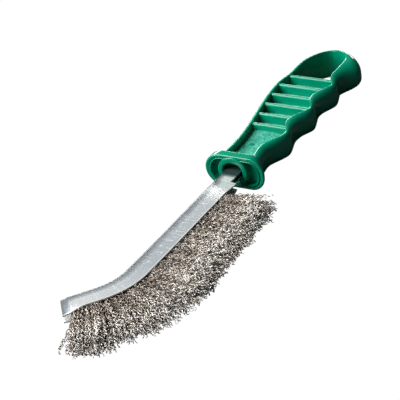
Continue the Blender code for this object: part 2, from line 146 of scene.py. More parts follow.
def newGroup(name, inputs, outputs):
    group = bpy.data.node_groups.new(name, "ShaderNodeTree")
    for socketName, kind, value in inputs:
        socket = group.interface.new_socket(socketName, in_out="INPUT", socket_type=kind)
        socket.default_value = value
    for socketName, kind in outputs:
        group.interface.new_socket(socketName, in_out="OUTPUT", socket_type=kind)
    return group, group.nodes.new("NodeGroupInput"), group.nodes.new("NodeGroupOutput")


def noiseNode(tree, vector, scale, detail, roughness):
    node = tree.nodes.new("ShaderNodeTexNoise")
    node.inputs["Scale"].default_value = scale
    node.inputs["Detail"].default_value = detail
    node.inputs["Roughness"].default_value = roughness
    tree.links.new(vector, node.inputs["Vector"])
    return node.outputs["Fac"]


def mathNode(tree, operation, a, b):
    node = tree.nodes.new("ShaderNodeMath")
    node.operation = operation
    for i, value in enumerate((a, b)):
        if isinstance(value, (int, float)):
            node.inputs[i].default_value = value
        else:
            tree.links.new(value, node.inputs[i])
    return node.outputs[0]


def addShares(tree, a, shareOfA, b, shareOfB):
    partOfA, partOfB = mathNode(tree, "MULTIPLY", a, shareOfA), mathNode(tree, "MULTIPLY", b, shareOfB)
    return mathNode(tree, "ADD", partOfA, partOfB)


def rampNode(tree, factor, stops):
    node = tree.nodes.new("ShaderNodeValToRGB")
    ramp = node.color_ramp
    while len(ramp.elements) < len(stops):
        ramp.elements.new(0.5)
    for element, (place, colour) in zip(ramp.elements, stops):
        element.position = place
        element.color = (*colour, 1)
    tree.links.new(factor, node.inputs["Fac"])
    return node.outputs["Color"]


def mapRange(tree, value, before, after):
    node = tree.nodes.new("ShaderNodeMapRange")
    for socketName, number in zip(("From Min", "From Max", "To Min", "To Max"), (*before, *after)):
        node.inputs[socketName].default_value = number
    tree.links.new(value, node.inputs["Value"])
    return node.outputs["Result"]


def mixColour(tree, mask, under, over):
    # A colour mix has its mask at socket 0 and its two colours at sockets 6 and 7
    node = tree.nodes.new("ShaderNodeMix")
    node.data_type = "RGBA"
    tree.links.new(mask, node.inputs[0])
    tree.links.new(under, node.inputs[6])
    node.inputs[7].default_value = (*over, 1)
    return node.outputs[2]


def makeSurfaceGroup():
    # Broad tone, fine grain and height from one vector: every material of the brush uses it
    look = {
        "broadDetail": 3,
        "fineDetail": 4,
        "broadShare": 0.6,
        "fineShare": 0.4,
    }
    group, inside, outside = newGroup(
        "surfaceGrain",
        (("Vector", "NodeSocketVector", (0, 0, 0)), ("Broad Scale", "NodeSocketFloat", 40.0),
         ("Fine Scale", "NodeSocketFloat", 1500.0)),
        (("Tone", "NodeSocketFloat"), ("Grain", "NodeSocketFloat"), ("Height", "NodeSocketFloat")))
    broad = group.nodes.new("ShaderNodeTexNoise")
    fine = group.nodes.new("ShaderNodeTexNoise")
    broad.inputs["Detail"].default_value = look["broadDetail"]
    fine.inputs["Detail"].default_value = look["fineDetail"]
    for node, scale in ((broad, "Broad Scale"), (fine, "Fine Scale")):
        group.links.new(inside.outputs["Vector"], node.inputs["Vector"])
        group.links.new(inside.outputs[scale], node.inputs["Scale"])
    tone, grain = broad.outputs["Fac"], fine.outputs["Fac"]
    height = addShares(group, tone, look["broadShare"], grain, look["fineShare"])
    for value, socketName in ((tone, "Tone"), (grain, "Grain"), (height, "Height")):
        group.links.new(value, outside.inputs[socketName])
    return group


surfaceGroup = makeSurfaceGroup()


def startMaterial(name, look):
    # Where nodes give the roughness, the plain one is only what a reader without them sees
    material = bpy.data.materials.new(name)
    material.use_nodes = True
    tree = material.node_tree
    shader = tree.nodes["Principled BSDF"]
    shader.inputs["Roughness"].default_value = look["plainRoughness"]
    shader.inputs["Metallic"].default_value = look["metallic"]
    return material, tree, shader


def addGrain(tree, look):
    # The shared group over the piece's own coordinates, at the scales of this look
    where = tree.nodes.new("ShaderNodeTexCoord").outputs["Object"]
    node = tree.nodes.new("ShaderNodeGroup")
    node.node_tree = surfaceGroup
    tree.links.new(where, node.inputs["Vector"])
    node.inputs["Broad Scale"].default_value = look["broadScale"]
    node.inputs["Fine Scale"].default_value = look["fineScale"]
    return node.outputs


def addBump(tree, shader, height, look):
    bump = tree.nodes.new("ShaderNodeBump")
    bump.inputs["Strength"].default_value = look["bumpStrength"]
    bump.inputs["Distance"].default_value = look["bumpHeight"]
    tree.links.new(height, bump.inputs["Height"])
    tree.links.new(bump.outputs["Normal"], shader.inputs["Normal"])


def makeGreenPlastic():
    look = {
        "metallic": 0,
        "plainRoughness": 0.06,
        "specular": 0.35,
        "deepColour": (0.0, 0.235, 0.128),
        "liftColour": (0.0, 0.30, 0.172),
        "broadScale": 45.0,
        "fineScale": 700.0,
        "roughness": (0.045, 0.08),
        "bumpStrength": 0.2,
        "bumpHeight": 0.00002,
    }
    material, tree, shader = startMaterial("greenPlastic", look)
    shader.inputs["Specular IOR Level"].default_value = look["specular"]
    grain = addGrain(tree, look)
    stops = list(zip(grainRange, (look["deepColour"], look["liftColour"])))
    tree.links.new(rampNode(tree, grain["Tone"], stops), shader.inputs["Base Color"])
    tree.links.new(mapRange(tree, grain["Grain"], grainRange, look["roughness"]), shader.inputs["Roughness"])
    addBump(tree, shader, grain["Height"], look)
    return material


def makeGreenWeb():
    # The mould's floor was left rough, so the web between the walls is paler and speckled
    look = {
        "metallic": 0,
        "plainRoughness": 0.3,
        "specular": 0.3,
        "deepColour": (0.006, 0.22, 0.14),
        "liftColour": (0.10, 0.56, 0.40),
        "speckleRange": (0.38, 0.62),
        "grainShare": 0.6,
        "toneShare": 0.4,
        "broadScale": 160.0,
        "fineScale": 850.0,
        "roughness": (0.22, 0.42),
        "bumpStrength": 0.5,
        "bumpHeight": 0.00012,
    }
    material, tree, shader = startMaterial("greenWeb", look)
    shader.inputs["Specular IOR Level"].default_value = look["specular"]
    grain = addGrain(tree, look)
    speckle = addShares(tree, grain["Grain"], look["grainShare"], grain["Tone"], look["toneShare"])
    stops = list(zip(look["speckleRange"], (look["deepColour"], look["liftColour"])))
    tree.links.new(rampNode(tree, speckle, stops), shader.inputs["Base Color"])
    tree.links.new(mapRange(tree, grain["Grain"], grainRange, look["roughness"]), shader.inputs["Roughness"])
    addBump(tree, shader, grain["Height"], look)
    return material


def makeGalvanised():
    # UV x runs along the sheet and y round it, in metres. Streaks lie across the sheet. Shade is painted in
    # towards its fold, at the toe end and where the tang enters the ring, and painted highlights lie on its
    # lips and along it.
    look = {
        "metallic": 0.55,
        "plainRoughness": 0.3,
        "girth": 0.0302,
        "length": 0.1441,
        "darkColour": (0.42, 0.475, 0.51),
        "lightColour": (0.60, 0.66, 0.69),
        # pale streaks in the zinc, and also the colour of the painted highlights
        "streakAndHighlightColour": (0.97, 0.98, 0.97),
        # painted shade, used towards the fold and at the toe end
        "shadeColour": (0.235, 0.27, 0.295),
        "foldShadeColour": (0.035, 0.043, 0.05),
        "tangShadeColour": (0.02, 0.062, 0.056),
        "broadScale": 60.0,
        "fineScale": 900.0,
        "streakStretch": (1.0, 0.06, 1.0),
        "streakNoise": (330, 4, 0.6),
        "fineStreakNoise": (760, 2, 0.5),
        "fineStreakRange": (0.29, 0.38),
        "streakShare": 0.55,
        "toneShare": 0.45,
        "toneRange": (0.38, 0.62),
        "lipHighlightBand": (0.0005, 0.001),
        "shadeBand": (0.0062, 0.0086),
        "foldShadeBand": (0.0092, 0.0104),
        "tangShadeBand": (0.0150, 0.0176),
        "toeEndShadeBand": (0.1405, 0.1417),
        "paintedHighlightAlong": (
            # share of the length, and how much painted highlight lies there
            (0.118, 0.0), (0.125, 1.0), (0.22, 1.0), (0.33, 0.15), (0.70, 0.0), (0.84, 0.4), (0.975, 0.8),
            (0.985, 0.0),
        ),
        "streakCover": (0, 0.9),
        "shadeCover": (0, 0.85),
        "foldShadeCover": (0, 0.95),
        "toeEndShadeCover": (0, 0.85),
        "lipHighlightCover": (0.9, 0),
        "tangShadeCover": (0.93, 0),
        "roughnessRange": (0.35, 0.65),
        "roughness": (0.34, 0.22),
        "bumpStrength": 0.3,
        "bumpHeight": 0.00006,
    }
    material, tree, shader = startMaterial("galvanisedSheet", look)
    uvMap = tree.nodes.new("ShaderNodeUVMap").outputs["UV"]
    stretch = tree.nodes.new("ShaderNodeMapping")
    stretch.inputs["Scale"].default_value = look["streakStretch"]
    tree.links.new(uvMap, stretch.inputs["Vector"])
    streaks = noiseNode(tree, stretch.outputs["Vector"], *look["streakNoise"])
    fineStreaks = noiseNode(tree, stretch.outputs["Vector"], *look["fineStreakNoise"])
    grain = addGrain(tree, look)
    tone = addShares(tree, streaks, look["streakShare"], grain["Tone"], look["toneShare"])
    brokenStreaks = mathNode(tree, "MULTIPLY", fineStreaks, grain["Grain"])
    streakMask = mapRange(tree, brokenStreaks, look["fineStreakRange"], look["streakCover"])
    split = tree.nodes.new("ShaderNodeSeparateXYZ")
    tree.links.new(uvMap, split.inputs["Vector"])
    along, around = split.outputs["X"], split.outputs["Y"]
    fromLip = mathNode(tree, "MINIMUM", around, mathNode(tree, "SUBTRACT", look["girth"], around))
    shareAlong = mathNode(tree, "MULTIPLY", along, 1 / look["length"])
    # Painted highlight: patches near the ring and towards the toe, where the sloping sheet catches light
    paintedHighlight = rampNode(tree, shareAlong, [(place, (value,) * 3) for place, value in look["paintedHighlightAlong"]])
    layers = ((streakMask, "streakAndHighlightColour"),
              (paintedHighlight, "streakAndHighlightColour"),
              # painted shade on the cheeks towards the fold
              (mapRange(tree, fromLip, look["shadeBand"], look["shadeCover"]), "shadeColour"),
              # painted shade, nearly black, over the fold's rounded back in place of the light it would
              # reflect
              (mapRange(tree, fromLip, look["foldShadeBand"], look["foldShadeCover"]), "foldShadeColour"),
              # painted shade at the pinched toe end
              (mapRange(tree, along, look["toeEndShadeBand"], look["toeEndShadeCover"]), "shadeColour"),
              # painted highlight, a thin bright line along the lips
              (mapRange(tree, fromLip, look["lipHighlightBand"], look["lipHighlightCover"]), "streakAndHighlightColour"),
              # painted shade with a painted green reflection, where the tang runs into the ring
              (mapRange(tree, along, look["tangShadeBand"], look["tangShadeCover"]), "tangShadeColour"))
    colour = rampNode(tree, tone, list(zip(look["toneRange"], (look["darkColour"], look["lightColour"]))))
    for mask, name in layers:
        colour = mixColour(tree, mask, colour, look[name])
    tree.links.new(colour, shader.inputs["Base Color"])
    roughness = mapRange(tree, tone, look["roughnessRange"], look["roughness"])
    tree.links.new(roughness, shader.inputs["Roughness"])
    addBump(tree, shader, tone, look)
    return material


def makeCrimpedWire():
    look = {
        "metallic": 0.75,
        "plainRoughness": 0.42,
        "colours": (
            # tone, colour: darkest wires first, then ever paler ones, up to the pale tips that the painted
            # tip light reaches
            (0.24, (0.13, 0.11, 0.09)),
            (0.42, (0.30, 0.255, 0.215)),
            (0.6, (0.62, 0.565, 0.50)),
            (0.85, (0.98, 0.96, 0.93)),
        ),
        "wireShare": 0.5,
        "toneShare": 0.5,
        "broadScale": 260.0,
        "fineScale": 1800.0,
        "roughness": (0.32, 0.5),
    }
    material, tree, shader = startMaterial("crimpedWire", look)
    wireToneAndTipLight = tree.nodes.new("ShaderNodeAttribute")
    wireToneAndTipLight.attribute_name = "wireToneAndTipLight"
    grain = addGrain(tree, look)
    tone = addShares(tree, wireToneAndTipLight.outputs["Fac"], look["wireShare"], grain["Tone"], look["toneShare"])
    tree.links.new(rampNode(tree, tone, look["colours"]), shader.inputs["Base Color"])
    tree.links.new(mapRange(tree, grain["Grain"], grainRange, look["roughness"]), shader.inputs["Roughness"])
    return material


def showOnlyToCamera(tree, hidden, seen, output):
    # The camera sees the second shader, and all other rays meet the first
    blend = tree.nodes.new("ShaderNodeMixShader")
    tree.links.new(tree.nodes.new("ShaderNodeLightPath").outputs["Is Camera Ray"], blend.inputs["Fac"])
    tree.links.new(hidden, blend.inputs[1])
    tree.links.new(seen, blend.inputs[2])
    tree.links.new(blend.outputs["Shader"], tree.nodes[output].inputs["Surface"])


def makeFloorMaterial():
    # Pale and evenly lit where it is looked at, and quiet in reflections, like a table with flags round it
    look = {
        "metallic": 0,
        "plainRoughness": 0.9,
        "specular": 0.0,
        "bounceColour": (0.08, 0.08, 0.08),
        "glowStrength": 1.02,
    }
    material, tree, shader = startMaterial("studioFloor", look)
    shader.inputs["Base Color"].default_value = (*look["bounceColour"], 1)
    shader.inputs["Specular IOR Level"].default_value = look["specular"]
    glow = tree.nodes.new("ShaderNodeEmission")
    glow.inputs["Color"].default_value = (1, 1, 1, 1)
    glow.inputs["Strength"].default_value = look["glowStrength"]
    showOnlyToCamera(tree, shader.outputs["BSDF"], glow.outputs["Emission"], "Material Output")
    return material


greenPlastic = makeGreenPlastic()
greenWeb = makeGreenWeb()
galvanisedSheet = makeGalvanised()
crimpedWire = makeCrimpedWire()
print("materials ready")


# Handle: walls lofted round the plan, web, cross-ribs, collar and ring boss, joined into one moulding

handle = {
    "halfThickness": 6.45,
    "endHalfThickness": 7.7,
    "thickens": (88.0, 105.5),  # where it grows from one half thickness to the other
    "reach": 118.9,
    "wallStart": 1.4,
    "crestPlaces": (30.6, 57.2, 83.4, 105.5),
    "outerCrests": (14.7, 14.3, 13.8, 15.6),
    "outerHollows": (12.0, 11.3, 10.9),
    "innerCrests": (11.7, 11.6, 10.6, 6.4),
    "innerHollows": (6.4, 6.3, 5.8),
    "hollowPower": 1.5,
    "neckOuter": 11.0,
    "neckInner": 6.3,
    "neckFlare": 2.2,
    "neckThumb": 9.0,
    "thumbWidth": 18.89,
    "thumbEndWidth": 17.3,
    "thumbSwells": (10.5, 82.0),
    "thumbNarrows": (78.0, 93.0),
    "thumbTurn": 93.0,
    "thumbWall": 2.5,
    "endWall": 2.9,
    "outerTurnPower": 1.4,
    "innerTurnPower": 0.6,
    # Each edge is rounded this far across the wall and this far down it
    "fingerEdge": (4.2, 5.6),
    "bulbEdge": (10.0, 7.0),
    "turnEdge": (1.7, 2.6),
    "thumbEdge": (1.5, 2.4),
    "fingerEdgeShare": 0.92,  # most of the wall's width that the finger edge may take
    "turnEdgeShares": (0.62, 0.9),  # the same round the end, at its thumb side and its finger side
    "innerEdge": 0.45,
    "innerEdgeCut": 0.3,
    "innerDraft": 0.25,
    "draftShare": 0.35,
    "leastFlat": 0.1,  # flat rim that is always left between the two edges
    "fingerSteps": 100,
    "turnSteps": 24,
    "thumbSteps": 64,
    "edgeSteps": 8,
    "webHalf": 1.5,
    "neckWebHalf": 2.9,
    "webStart": 2.0,
    "webRoot": 0.8,  # how deep it runs into the walls
    "webStep": 1.2,
    "firstRib": 36.0,
    "lastRib": 88.0,
    "ribCount": 6,
    "ribHalf": 1.4,
    "ribBelowRim": 0.35,
    "ribRoot": 0.9,
    "ribFoot": (1.12, 1.0),  # share of its half width at the foot, and how high the foot is
    "ribShoulder": 0.45,
    "ribTopShare": 0.86,
    "ribTopSteps": 6,
    "ribSteps": 12,
    "markPlace": (20.4, 1.7),
    "markRadius": 1.1,
    "markProud": 0.4,
    "markSteps": 24,
    "sharpDegrees": 42,
}


def halfThicknessAt(x):
    return mix(handle["halfThickness"], handle["endHalfThickness"], blendOver(x, *handle["thickens"]))


def fingerLine(x, crests, hollows, neck):
    # Half width on the finger side: a neck, then crests with hollows between them
    places = handle["crestPlaces"]
    if x < places[0]:
        flare = handle["neckFlare"] * (1 - smoothBlend(x / (places[0] / 2)))
        return neck + flare + smoothBlend(2 * x / places[0] - 1) * (crests[0] - neck)
    for i in range(len(hollows)):
        if x <= places[i + 1]:
            share = (x - places[i]) / (places[i + 1] - places[i])
            crest = mix(crests[i], crests[i + 1], smoothBlend(share))
            return mix(crest, hollows[i], math.sin(math.pi * share) ** handle["hollowPower"])
    return crests[-1]


def fingerWidth(x):
    return fingerLine(x, handle["outerCrests"], handle["outerHollows"], handle["neckOuter"])


def fingerInner(x):
    return fingerLine(x, handle["innerCrests"], handle["innerHollows"], handle["neckInner"])


def thumbWidthAt(x):
    width = mix(handle["neckThumb"], handle["thumbWidth"], blendOver(x, *handle["thumbSwells"]))
    return width - (handle["thumbWidth"] - handle["thumbEndWidth"]) * blendOver(x, *handle["thumbNarrows"])


def thumbInner(x):
    return thumbWidthAt(x) - handle["thumbWall"]


def edgeBetween(first, second, share):
    # How far across and down the wall an edge is rounded, between two of the named edges
    return [mix(a, b, share) for a, b in zip(handle[first], handle[second])]


def planStations():
    # Outer and inner plan points with the edge rounding there, from the neck round the end and back
    stations = []
    lastCrest, thumbTurn = handle["crestPlaces"][-1], handle["thumbTurn"]
    steps = handle["fingerSteps"]
    for i in range(steps + 1):
        x = mix(handle["wallStart"], lastCrest, i / steps)
        outer, inner = -fingerWidth(x), -fingerInner(x)
        across, down = edgeBetween("fingerEdge", "bulbEdge", blendOver(x, handle["lastRib"], lastCrest))
        across = min(across, (inner - outer) * handle["fingerEdgeShare"])
        stations.append(((x, outer), (x, inner), across, down))
    fingerEnd, thumbEnd = handle["outerCrests"][-1], thumbWidthAt(thumbTurn)
    innerFinger, innerThumb = handle["innerCrests"][-1], thumbInner(thumbTurn)
    outerReach, innerReach = handle["reach"], handle["reach"] - handle["endWall"]
    outerTip, innerTip = (thumbEnd - fingerEnd) / 2, (innerThumb - innerFinger) / 2
    outerPower, innerPower = handle["outerTurnPower"], handle["innerTurnPower"]
    steps = handle["turnSteps"]
    for i in range(1, steps * 2):
        turn = math.pi / 2 * i / steps
        c, s = abs(math.cos(turn)), math.sin(turn)
        if i <= steps:
            outer = (mix(lastCrest, outerReach, s), outerTip - (fingerEnd + outerTip) * c ** outerPower)
            inner = (mix(lastCrest, innerReach, s), innerTip - (innerFinger + innerTip) * c ** innerPower)
        else:
            outer = (mix(thumbTurn, outerReach, s), outerTip + (thumbEnd - outerTip) * c)
            inner = (mix(thumbTurn, innerReach, s), innerTip + (innerThumb - innerTip) * c)
        bulb = max(0, 1 - i / steps)
        across, down = edgeBetween("turnEdge", "bulbEdge", bulb)
        across = min(across, math.dist(outer, inner) * mix(*handle["turnEdgeShares"], bulb))
        stations.append((outer, inner, across, down))
    steps = handle["thumbSteps"]
    for i in range(steps + 1):
        x = mix(thumbTurn, handle["wallStart"], i / steps)
        stations.append(((x, thumbWidthAt(x)), (x, thumbInner(x)), *handle["thumbEdge"]))
    return stations


def wallSection(outer, inner, roundAcross, roundDown):
    # A closed section of the wall: a nearly upright inner face, a small inner edge, a broad rounded outer one
    half, edge = halfThicknessAt(outer[0]), handle["innerEdge"]
    cut = edge * handle["innerEdgeCut"]
    across = Vector(outer) - Vector(inner)
    width = across.length
    across.normalize()
    flatEnd = max(width - roundAcross, edge + handle["leastFlat"])
    upper = [(handle["innerDraft"], half * handle["draftShare"]), (0.0, half - edge), (cut, half - cut),
             (edge, half), (mix(edge, flatEnd, 0.5), half)]
    upper += [(flatEnd + (width - flatEnd) * math.sin(turn), half - roundDown * (1 - math.cos(turn)))
              for turn in quarterTurn(handle["edgeSteps"])]
    section = upper + [(n, -z) for n, z in reversed(upper)]
    return [(inner[0] + across.x * n, inner[1] + across.y * n, midHeight + z) for n, z in section]


def addTool(name, shape):
    # A helper solid for the Booleans, removed once they are applied
    tool = bpy.data.objects.new(name, meshFromBmesh(name, shape))
    bpy.context.scene.collection.objects.link(tool)
    return tool


def plateTool(name, points, half):
    return addTool(name, loftRows([[(x, y, midHeight + z) for x, y in points] for z in (-half, half)]))


def webTool(name, end, half):
    # A flat web from wall to wall, rooted in both
    start, root = handle["webStart"], handle["webRoot"]
    steps = max(2, round((end - start) / handle["webStep"]))
    places = [mix(start, end, i / steps) for i in range(steps + 1)]
    finger = [(x, -(fingerInner(x) + root)) for x in places]
    thumb = [(x, thumbInner(x) + root) for x in reversed(places)]
    return plateTool(name, finger + thumb, half)


def markTool():
    # The round mark that an ejector pin leaves in the neck's web
    (markX, markY), radius = handle["markPlace"], handle["markRadius"]
    turns = [2 * math.pi * i / handle["markSteps"] for i in range(handle["markSteps"])]
    points = [(markX + radius * math.cos(turn), markY + radius * math.sin(turn)) for turn in turns]
    return plateTool("markTool", points, handle["neckWebHalf"] + handle["markProud"])


def ribTool(index):
    x = mix(handle["firstRib"], handle["lastRib"], index / (handle["ribCount"] - 1))
    half, (footShare, footHeight) = handle["ribHalf"], handle["ribFoot"]
    top = halfThicknessAt(x) - handle["ribBelowRim"]
    radius = half * handle["ribTopShare"]
    upper = [(half * footShare, footHeight), (half, top * handle["ribShoulder"])]
    upper += [(radius * math.cos(turn), top - radius * (1 - math.sin(turn)))
              for turn in quarterTurn(handle["ribTopSteps"])]
    upper += [(-n, z) for n, z in reversed(upper[:-1])]
    section = upper + [(-n, -z) for n, z in upper]
    root, steps = handle["ribRoot"], handle["ribSteps"]
    low, high = -(fingerInner(x) + root), thumbInner(x) + root
    rows = [[(x + n, mix(low, high, i / steps), midHeight + z) for n, z in section] for i in range(steps + 1)]
    return addTool(f"ribTool{index}", loftRows(rows))


collar = {
    "front": -2.6,
    "back": 2.6,
    "centre": -0.8,
    "width": 33.2,
    "height": 17.4,
    "thumbFlat": 7.4,
    "fingerFlat": 8.4,
    "fingerTaper": 2.5,
    "wall": 3.1,
    "flatWall": 2.3,
    "edge": 0.9,
    "mouthEdge": 0.5,
    "backInset": 4.0,  # the flat back is closed from this far inside its edge
    "floor": 0.8,
    "floorCorner": ((-0.5, 0.15), (0.0, 0.65)),  # place from the floor, and how much thicker the wall is
    "roundSteps": 22,
    "flatSteps": 8,
    "edgeSteps": 6,
    "ringAcross": 16.4,
    "ringTall": 16.0,
    "ringProud": 0.6,
    "ringLip": 0.75,
    "ringLipSteps": 8,
    "ringRoot": 0.8,
    "socketWide": 10.8,
    "socketTall": 9.8,
    "socketDepth": 1.2,
    "socketPower": 0.85,
    "mouthPower": 0.9,
    "mouthWider": 1.0,
    "mouthAhead": 0.5,
    "ovalSteps": 56,
}


def stretchedRound(x, inset, flatInset):
    # Two flats joined by half ellipses; behind its front the collar draws in on the finger side
    thumbFlat, fingerFlat = collar["thumbFlat"], collar["fingerFlat"]
    steps, flatSteps = collar["roundSteps"], collar["flatSteps"]
    taper = collar["fingerTaper"] * blendOver(x, collar["front"], collar["back"])
    height = collar["height"] / 2 - flatInset
    turns = [math.pi * (i / steps - 0.5) for i in range(steps + 1)]
    thumbBulge = collar["width"] / 2 - thumbFlat - inset
    fingerBulge = collar["width"] / 2 - fingerFlat - inset - taper
    loop = [(thumbFlat + thumbBulge * math.cos(turn), height * math.sin(turn)) for turn in turns]
    loop += [(mix(thumbFlat, -fingerFlat, i / flatSteps), height) for i in range(1, flatSteps)]
    loop += [(-fingerFlat - fingerBulge * math.cos(turn), -height * math.sin(turn)) for turn in turns]
    loop += [(mix(-fingerFlat, thumbFlat, i / flatSteps), -height) for i in range(1, flatSteps)]
    return [(x, collar["centre"] + u, midHeight + v) for u, v in loop]


def collarTool():
    edge, mouthEdge, wall, flatWall = (collar[key] for key in ("edge", "mouthEdge", "wall", "flatWall"))
    turns = quarterTurn(collar["edgeSteps"])
    profile = [(collar["back"], collar["backInset"], collar["backInset"])]
    for turn in turns:
        inset = edge * (1 - math.sin(turn))
        profile.append((collar["back"] - edge * (1 - math.cos(turn)), inset, inset))
    for turn in turns:
        inset = edge * (1 - math.cos(turn))
        profile.append((collar["front"] + edge * (1 - math.sin(turn)), inset, inset))
    for turn in turns:
        inset = mouthEdge * math.cos(turn)
        profile.append((collar["front"] + mouthEdge * (1 - math.sin(turn)), wall - inset, flatWall - inset))
    for ahead, thicker in collar["floorCorner"]:
        profile.append((collar["floor"] + ahead, wall + thicker, flatWall + thicker))
    return addTool("collarTool", loftRows([stretchedRound(*station) for station in profile]))


def oval(across, tall, x, power=1.0):
    # An ellipse across the X axis; a power under 1 squares its corners
    points = []
    for i in range(collar["ovalSteps"]):
        turn = 2 * math.pi * (i + 0.5) / collar["ovalSteps"]
        u = math.copysign(abs(math.cos(turn)) ** power, math.cos(turn))
        v = math.copysign(abs(math.sin(turn)) ** power, math.sin(turn))
        points.append((x, across / 2 * u, midHeight + tall / 2 * v))
    return points


def ringTool():
    wide, tall, lip = collar["ringAcross"], collar["ringTall"], collar["ringLip"]
    front = collar["front"] - collar["ringProud"]
    rows = [oval(wide, tall, collar["floor"] + collar["ringRoot"])]
    for turn in quarterTurn(collar["ringLipSteps"]):
        inset = lip * (1 - math.cos(turn))
        rows.append(oval(wide - 2 * inset, tall - 2 * inset, front + lip * (1 - math.sin(turn))))
    return addTool("ringTool", loftRows(rows))


def socketTool():
    wide, tall, lip = collar["socketWide"], collar["socketTall"], collar["ringLip"]
    mouthPower, power, wider = collar["mouthPower"], collar["socketPower"], collar["mouthWider"]
    front, steps = collar["front"] - collar["ringProud"], collar["edgeSteps"]
    rows = [oval(wide + 2 * lip + wider, tall + 2 * lip + wider, front - collar["mouthAhead"], mouthPower)]
    for i, turn in enumerate(quarterTurn(steps)):
        flare = lip * (1 - math.sin(turn))
        rows.append(oval(wide + 2 * flare, tall + 2 * flare, front + lip * (1 - math.cos(turn)),
                         mix(mouthPower, power, i / steps)))
    rows.append(oval(wide, tall, collar["floor"] + collar["socketDepth"], power))
    return addTool("socketTool", loftRows(rows))


def paintWeb(mesh):
    # The web's flat faces, on both sides, take the speckled green
    levelError, upright = 0.05, 0.99
    mesh.materials.clear()
    mesh.materials.append(greenPlastic)
    mesh.materials.append(greenWeb)
    for face in mesh.polygons:
        level = abs(face.center.z / mm - midHeight)
        onWeb = min(abs(level - handle[name]) for name in ("webHalf", "neckWebHalf")) < levelError
        face.material_index = int(onWeb and abs(face.normal.z) > upright)


def makeHandle():
    walls = loftRows([wallSection(*station) for station in planStations()])
    body = newObject("handleMoulding", meshFromBmesh("handleMoulding", walls), ("handle",))
    joined = [webTool("webTool", handle["lastRib"], handle["webHalf"]),
              webTool("neckWebTool", handle["firstRib"], handle["neckWebHalf"]),
              *[ribTool(i) for i in range(handle["ribCount"])],
              markTool(), collarTool(), ringTool()]
    tools = [(tool, "UNION") for tool in joined] + [(socketTool(), "DIFFERENCE")]
    for tool, operation in tools:
        boolean(body, tool, operation)
    applyModifiers(body)
    for tool, _ in tools:
        bpy.data.objects.remove(tool, do_unlink=True)
    paintWeb(body.data)
    body.data.shade_smooth()
    body.data.set_sharp_from_angle(angle=math.radians(handle["sharpDegrees"]))


makeHandle()
print("handle ready")


# Channel: one folded sheet, with the tang that runs into the ring boss

channel = {
    "sheet": 0.6,
    "depth": 12.1,
    "rearDepth": 13.0,
    "rearDepthLength": 16.0,
    "half": 4.0,
    "rearHalf": 1.9,
    "flattening": 20.0,  # length over which the pressed cheeks open to the full channel
    "flatteningPower": 1.5,
    "foldRadius": 2.3,
    "foldSteps": 8,
    "cheekShares": (1.0, 0.86, 0.7, 0.52),
    "cheekBend": (0.19, 0.81, 1.1),  # where a cheek leaves the fold, the share left of it, and its curve
    "lipBevel": (0.12, 0.18),
    "leastHalf": 0.02,
    "rear": -14.6,
    "straight": 87.4,
    "bendRadius": 27.0,
    "bendDegrees": 38.0,
    "toeLength": 16.2,
    "toeSlantDegrees": 14.0,
    "toePinch": 8.0,
    "toeLipHalf": 2.0,
    "endPinch": 3.4,
    "endHalf": 3.5,
    "spineY": 0.4,
    "spineDrift": 1.6,
    "tangDepth": 9.4,
    "tangY": 4.7,
    "tangHalf": 1.2,
    "tangPlaces": (8.0, 4.0, 0.0, -3.0, -6.0, -9.0, -12.0),
    "tangSpreads": -3.0,  # where the tang starts to widen into the pressed cheeks
    "tangGap": 0.4,
    "rearPlaces": (0, 1, 2.5, 4, 6, 8, 10, 12, 13.2),
    "straightSteps": (4, 24),  # the first step used after the rear places, and their count
    "bendSteps": 16,
    "toeSteps": 20,
    "fullSection": 20,  # the section that the girth of the UV map is measured on
    "sharpDegrees": 38,
}
bendStart = channel["rear"] - channel["straight"]
bendLength = channel["bendRadius"] * math.radians(channel["bendDegrees"])
channelLength = channel["straight"] + bendLength + channel["toeLength"]


def flattened(distance):
    # 1 where the cheeks are pressed together at the rear end, 0 where the channel is full
    return max(0.0, 1 - distance / channel["flattening"]) ** channel["flatteningPower"]


def toeBlend(distance, length):
    # Rises to 1 at the toe end, over this length
    return smoothBlend(1 - (channelLength - distance) / length)


def halfBodyAt(distance):
    body = mix(channel["half"], channel["rearHalf"], flattened(distance))
    return mix(body, channel["endHalf"], toeBlend(distance, channel["endPinch"]))


def halfLipAt(distance):
    return mix(halfBodyAt(distance), channel["toeLipHalf"], toeBlend(distance, channel["toePinch"]))


def pathPoint(distance):
    # Spine point, direction towards the toe, and direction from spine to lips
    if distance <= channel["straight"]:
        x = channel["rear"] - distance
        y = channel["spineY"] + channel["spineDrift"] * smoothBlend((x - bendStart) / channel["straight"])
        y += (channel["half"] - channel["rearHalf"]) * flattened(distance)
        spine, along = Vector((x, y, 0)), Vector((-1, 0, 0))
    else:
        past = distance - channel["straight"]
        turn = min(past / channel["bendRadius"], math.radians(channel["bendDegrees"]))
        along = Vector((-math.cos(turn), math.sin(turn), 0))
        spine = Vector((bendStart - channel["bendRadius"] * math.sin(turn),
                        channel["spineY"] + channel["bendRadius"] * (1 - math.cos(turn)), 0))
        spine += along * (past - channel["bendRadius"] * turn)
    return spine, along, Vector((-along.y, along.x, 0))


